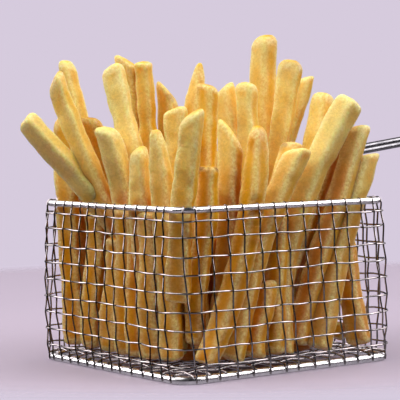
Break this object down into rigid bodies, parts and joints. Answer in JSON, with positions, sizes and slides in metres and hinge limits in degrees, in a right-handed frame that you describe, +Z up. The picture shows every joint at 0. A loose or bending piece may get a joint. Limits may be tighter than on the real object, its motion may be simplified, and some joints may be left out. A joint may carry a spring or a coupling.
{
  "type": "basket of french fries",
  "caption": "Square wire-mesh counter basket with a long looped rod handle, packed with a standing, fanned-out heap of square-cut french fries.",
  "frame": {"origin": "centre of the whole part's footprint, on the table that the base rod rests on", "axes": "+Z up, +X the way the handle points, +Y completes a right-handed frame, so the side with the basket's front wall faces -Y"},
  "size_m": [0.2078, 0.1012, 0.131],
  "materials": {
    "steel": "polished",
    "fries": "fried potato, softly grained, slight oily sheen"
  },
  "bodies": {
    "root": {"rim_rod": "steel", "base_rod": "steel", "wall_front": "steel", "wall_back": "steel", "wall_left": "steel", "wall_handle_side": "steel", "corner_wire_front_left": "steel", "corner_wire_front_right": "steel", "corner_wire_back_left": "steel", "corner_wire_back_right": "steel", "hoop_wire_1": "steel", "hoop_wire_2": "steel", "hoop_wire_3": "steel", "hoop_wire_4": "steel", "hoop_wire_5": "steel", "hoop_wire_6": "steel", "hoop_wire_7": "steel", "hoop_wire_8": "steel", "hoop_wire_9": "steel", "floor_wires_lower": "steel", "floor_wires_upper": "steel", "handle": "steel", "fries": "fries"}
  },
  "joints": []
}
